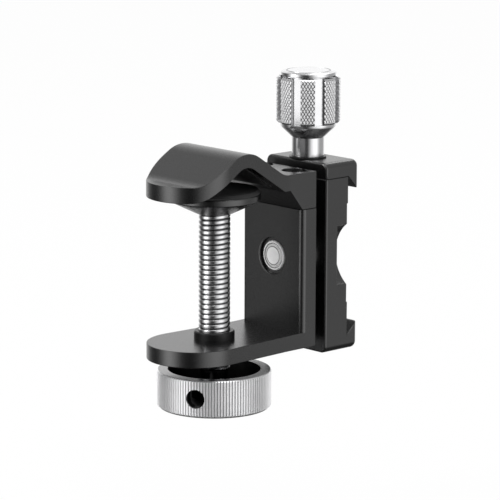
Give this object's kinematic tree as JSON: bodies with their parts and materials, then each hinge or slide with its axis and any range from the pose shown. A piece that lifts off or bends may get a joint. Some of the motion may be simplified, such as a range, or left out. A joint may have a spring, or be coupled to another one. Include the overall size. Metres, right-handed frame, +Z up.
{
  "type": "dovetail quick release clamp",
  "caption": "Small screw clamp with a V jaw, a pressure pad and a knurled handwheel, carrying a dovetail quick release clamp with a sliding upper lip and a knob.",
  "frame": {"origin": "top of the V under the upper jaw, on the axis of the clamp screw", "axes": "+Z up along the clamp screw, +X from the screw to the dovetail seat, +Y along the dovetail"},
  "size_m": [0.0586, 0.0286, 0.0817],
  "materials": {
    "black_body": "satin black anodised aluminium",
    "turned_aluminium": "bright turned and knurled",
    "steel": "turned stainless steel",
    "black_steel": "blackened steel",
    "rubber": "matte"
  },
  "bodies": {
    "frame": {"clamp_frame": "black_body", "upper_jaw": "black_body", "upper_jaw_screws": "black_steel", "jaw_liner_front": "rubber", "jaw_liner_rear": "rubber", "threaded_bush": "black_steel", "clamp_base": "black_body", "jaw_springs": "steel", "mount_screw": "steel", "mount_screw_washer": "steel", "spine_insert": "steel", "base_locating_pins": "steel"},
    "pad": {"pressure_pad": "black_body", "pad_facing": "rubber", "pad_retaining_ring": "steel"},
    "screw": {"clamp_screw": "steel", "handwheel": "turned_aluminium", "handwheel_screw": "black_steel"},
    "jaw": {"moving_jaw": "black_body", "guide_pins": "steel"},
    "knob": {"knob": "turned_aluminium", "knob_washer": "black_steel", "draw_screw": "steel"}
  },
  "joints": [
    {"name": "pad_slide", "type": "slide", "parent": "frame", "child": "pad", "axis": [0, 0, 1], "range_m": [-0.029, 0]},
    {"name": "screw_turn", "type": "hinge", "parent": "pad", "child": "screw", "pos_m": [0, 0, -0.03], "axis": [0, 0, 1], "range_deg": [-8353, 0]},
    {"name": "jaw_slide", "type": "slide", "parent": "frame", "child": "jaw", "axis": [0, 0, 1], "range_m": [0, 0.007], "deforming": ["jaw_springs"]},
    {"name": "knob_turn", "type": "hinge", "parent": "jaw", "child": "knob", "pos_m": [0.032, 0, 0], "axis": [0, 0, 1], "range_deg": [0, 3151]}
  ],
  "couplings": [
    {"joint": "screw_turn", "follows": "pad_slide", "rad_per_m": 5026.5},
    {"joint": "knob_turn", "follows": "jaw_slide", "rad_per_m": 7854}
  ]
}
